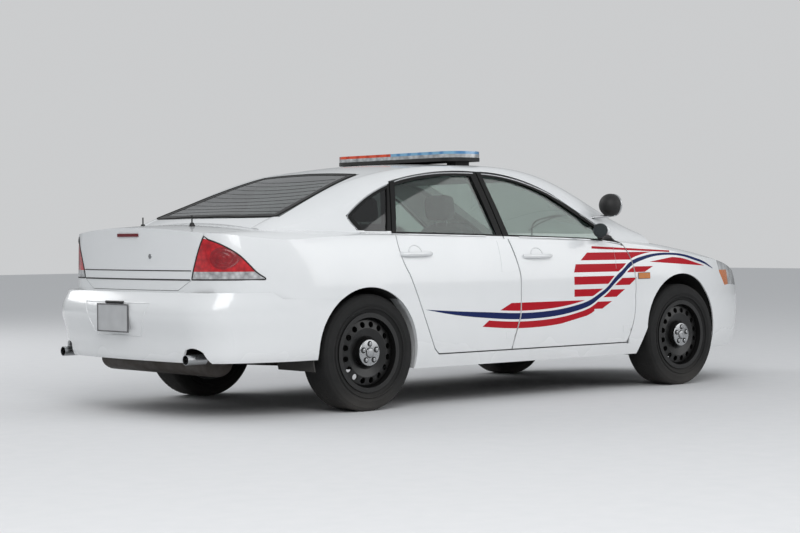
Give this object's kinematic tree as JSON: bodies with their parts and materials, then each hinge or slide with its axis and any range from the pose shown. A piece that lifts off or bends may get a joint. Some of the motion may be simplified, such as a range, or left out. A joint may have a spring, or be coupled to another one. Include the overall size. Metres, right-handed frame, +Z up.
{
  "type": "police patrol car",
  "caption": "Four-door patrol saloon with hollow cabin, opening doors, hood and boot lid, steered front wheels, light bar and spotlights.",
  "frame": {"origin": "on the ground, at the middle of the car's length and width", "axes": "+X forward, +Y to the car's left, +Z up"},
  "size_m": [5.0948, 2.12, 1.559],
  "materials": {
    "white_paint": "glossy white paint",
    "clear_glass": "slightly green window glass",
    "tinted_glass": "dark tinted window glass",
    "lamp_lens": "clear ribbed lamp lens",
    "red_lens": "red lamp lens",
    "beacon_lens": "red and blue clear dome",
    "chrome_trim": "bright chrome",
    "black_plastic": "grained black plastic",
    "grey_plastic": "grained grey plastic",
    "underbody_steel": "dull dark coating",
    "cast_metal": "rough cast",
    "dark_steel": "dull black coating",
    "pipe_steel": "dull steel",
    "black_steel": "satin black paint",
    "tyre_rubber": "dull black rubber",
    "seat_cloth": "grey woven cloth"
  },
  "bodies": {
    "body": {"body_side_left": "white_paint", "body_side_right": "white_paint", "roof_panel": "white_paint", "windshield": "clear_glass", "rear_window": "tinted_glass", "quarter_glass": "tinted_glass", "rear_deck": "white_paint", "headlamps": "lamp_lens", "tail_lamps": "red_lens", "fenders": "white_paint", "front_bumper": "white_paint", "rear_bumper": "white_paint", "grille": "chrome_trim", "cowl": "black_plastic", "underbody": "underbody_steel", "engine": "cast_metal", "front_subframe": "dark_steel", "rear_axle": "dark_steel", "exhaust": "pipe_steel", "dashboard": "grey_plastic", "front_seats": "seat_cloth", "rear_seat": "seat_cloth", "light_bar": "black_plastic", "light_bar_lenses": "beacon_lens", "spotlights": "chrome_trim"},
    "front_door_left": {"door_front_left": "white_paint", "door_glass_front_left": "clear_glass", "mirror_left": "white_paint"},
    "rear_door_left": {"door_rear_left": "white_paint", "door_glass_rear_left": "clear_glass"},
    "front_knuckle_left": {"knuckle_left": "dark_steel"},
    "front_wheel_left": {"wheel_front_left": "black_steel", "tyre_front_left": "tyre_rubber"},
    "rear_wheel_left": {"wheel_rear_left": "black_steel", "tyre_rear_left": "tyre_rubber"},
    "front_door_right": {"door_front_right": "white_paint", "door_glass_front_right": "clear_glass", "mirror_right": "white_paint"},
    "rear_door_right": {"door_rear_right": "white_paint", "door_glass_rear_right": "clear_glass"},
    "front_knuckle_right": {"knuckle_right": "dark_steel"},
    "front_wheel_right": {"wheel_front_right": "black_steel", "tyre_front_right": "tyre_rubber"},
    "rear_wheel_right": {"wheel_rear_right": "black_steel", "tyre_rear_right": "tyre_rubber"},
    "hood_lid": {"hood": "white_paint"},
    "boot_lid": {"trunk_lid": "white_paint"},
    "steering": {"steering_wheel": "black_plastic"}
  },
  "joints": [
    {"name": "front_door_left_hinge", "type": "hinge", "parent": "body", "child": "front_door_left", "pos_m": [0.882, 0.906, 0.6], "axis": [0, 0, -1], "range_deg": [0, 65]},
    {"name": "rear_door_left_hinge", "type": "hinge", "parent": "body", "child": "rear_door_left", "pos_m": [-0.21, 0.906, 0.6], "axis": [0, 0, -1], "range_deg": [0, 70]},
    {"name": "front_door_right_hinge", "type": "hinge", "parent": "body", "child": "front_door_right", "pos_m": [0.882, -0.906, 0.6], "axis": [0, 0, 1], "range_deg": [0, 65]},
    {"name": "rear_door_right_hinge", "type": "hinge", "parent": "body", "child": "rear_door_right", "pos_m": [-0.21, -0.906, 0.6], "axis": [0, 0, 1], "range_deg": [0, 70]},
    {"name": "hood_hinge", "type": "hinge", "parent": "body", "child": "hood_lid", "pos_m": [1.25, 0, 0.948], "axis": [0, -1, 0], "range_deg": [0, 45]},
    {"name": "boot_lid_hinge", "type": "hinge", "parent": "body", "child": "boot_lid", "pos_m": [-1.825, 0, 1.044], "axis": [0, 1, 0], "range_deg": [0, 80]},
    {"name": "steer_left", "type": "hinge", "parent": "body", "child": "front_knuckle_left", "pos_m": [1.447, 0.76, 0.2], "axis": [0, -0.239, 0.971], "range_deg": [-32, 32]},
    {"name": "steer_right", "type": "hinge", "parent": "body", "child": "front_knuckle_right", "pos_m": [1.447, -0.76, 0.2], "axis": [0, 0.239, 0.971], "range_deg": [-32, 32]},
    {"name": "front_wheel_left_spin", "type": "hinge", "parent": "front_knuckle_left", "child": "front_wheel_left", "pos_m": [1.447, 0.7925, 0.343], "axis": [0, 1, 0], "continuous": true},
    {"name": "rear_wheel_left_spin", "type": "hinge", "parent": "body", "child": "rear_wheel_left", "pos_m": [-1.36, 0.781, 0.343], "axis": [0, 1, 0], "continuous": true},
    {"name": "front_wheel_right_spin", "type": "hinge", "parent": "front_knuckle_right", "child": "front_wheel_right", "pos_m": [1.447, -0.7925, 0.343], "axis": [0, 1, 0], "continuous": true},
    {"name": "rear_wheel_right_spin", "type": "hinge", "parent": "body", "child": "rear_wheel_right", "pos_m": [-1.36, -0.781, 0.343], "axis": [0, 1, 0], "continuous": true},
    {"name": "steering_wheel_turn", "type": "hinge", "parent": "body", "child": "steering", "pos_m": [0.59, 0.37, 0.85], "axis": [-0.9063, 0, 0.4226], "range_deg": [-512, 512]}
  ],
  "couplings": [
    {"joint": "steer_right", "follows": "steer_left", "ratio": 1},
    {"joint": "steering_wheel_turn", "follows": "steer_left", "ratio": 16}
  ]
}
